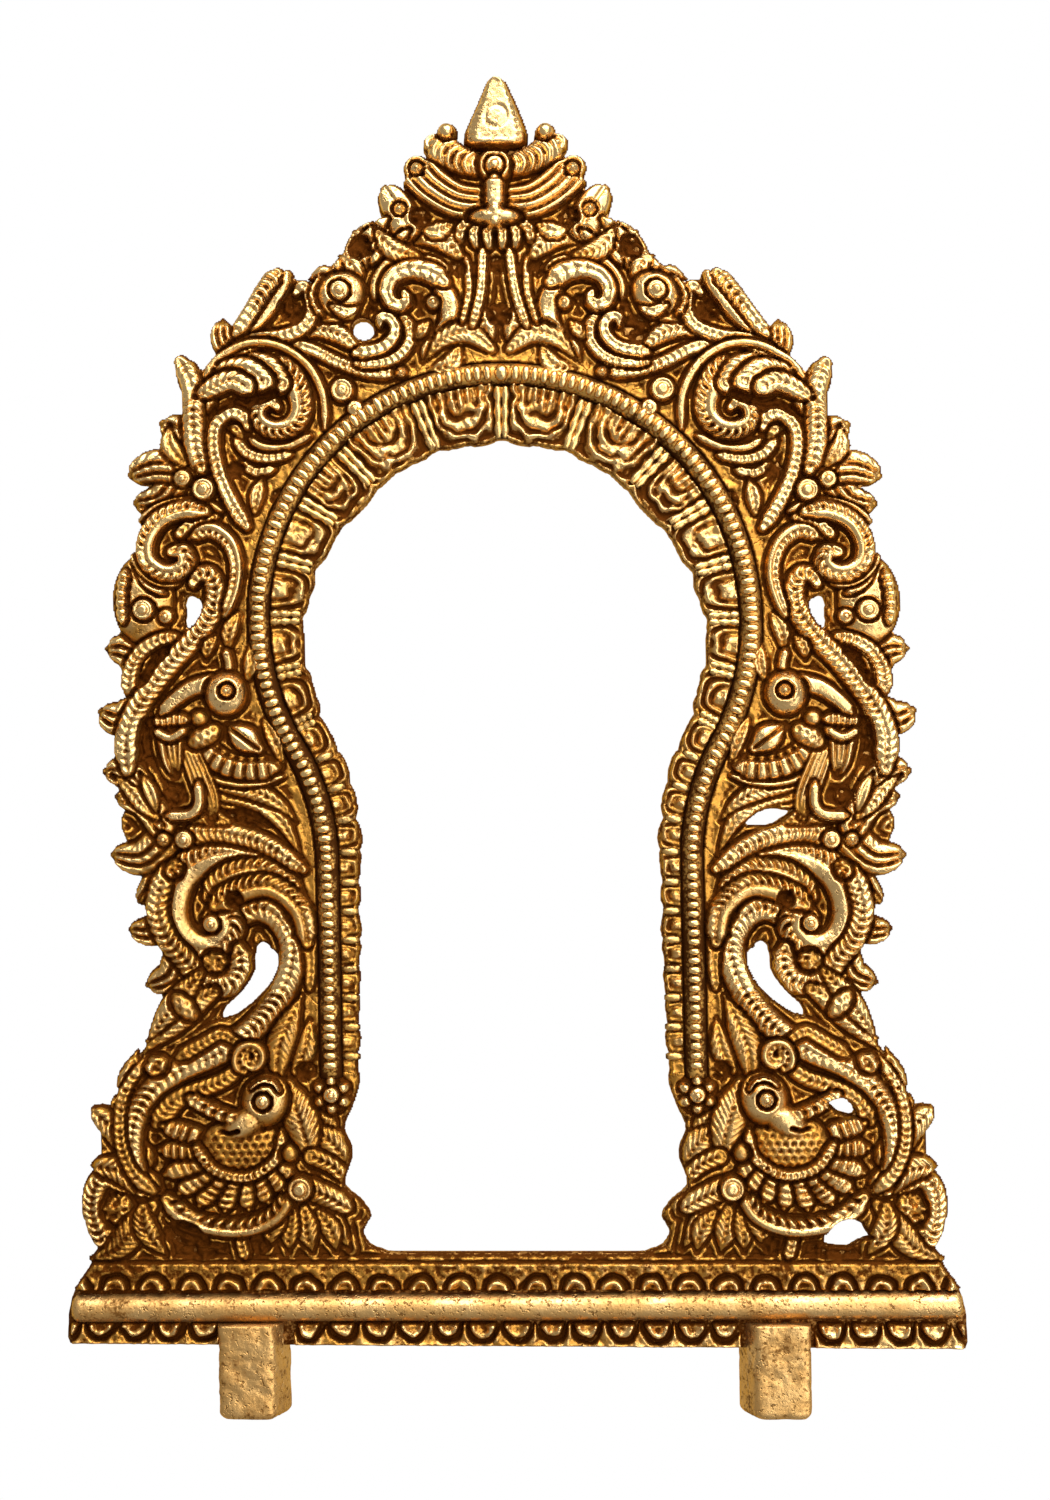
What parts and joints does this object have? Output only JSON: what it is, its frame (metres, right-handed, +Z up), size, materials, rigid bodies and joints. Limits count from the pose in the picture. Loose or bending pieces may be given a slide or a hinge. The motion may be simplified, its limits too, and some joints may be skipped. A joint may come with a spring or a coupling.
{
  "type": "prabhavali",
  "caption": "Pierced brass arch that stands behind a small temple figure, with a beaded keyhole opening, scrolls, birds and a mask in relief, and tenons below for a pedestal.",
  "frame": {"origin": "midway between the two tenons at the shoulder above them, on the ground plane of the relief", "axes": "+Z up towards the finial, +X to the right seen from the front, +Y towards the plain back"},
  "size_m": [0.1526, 0.0079, 0.2283],
  "materials": {
    "ground": "cast brass with a dark patina",
    "relief": "worn cast brass, bright on the high places",
    "polished": "satin brass",
    "raw": "rough sand-cast brass"
  },
  "bodies": {
    "root": {"back_plate": "ground", "left_tenon": "raw", "right_tenon": "raw", "base_rail": "polished", "lower_scallops": "relief", "upper_scallops": "relief", "bead_moulding": "polished", "bead_row": "polished", "lotus_petals": "relief", "petal_bars": "polished", "left_rosette": "relief", "right_rosette": "relief", "left_peacock": "relief", "right_peacock": "relief", "left_peacock_tail": "relief", "right_peacock_tail": "relief", "left_lower_stem": "relief", "right_lower_stem": "relief", "left_lower_scroll": "relief", "right_lower_scroll": "relief", "left_parrot": "relief", "right_parrot": "relief", "left_middle_stem": "relief", "right_middle_stem": "relief", "left_middle_scroll": "relief", "right_middle_scroll": "relief", "left_makara_bud": "relief", "right_makara_bud": "relief", "left_upper_scroll": "relief", "right_upper_scroll": "relief", "left_upper_stem": "relief", "right_upper_stem": "relief", "left_crown_scroll": "relief", "right_crown_scroll": "relief", "left_edge_leaves": "relief", "right_edge_leaves": "relief", "left_mask_ear": "relief", "right_mask_ear": "relief", "mask": "relief", "finial": "relief", "crown_leaves": "relief"}
  },
  "joints": []
}
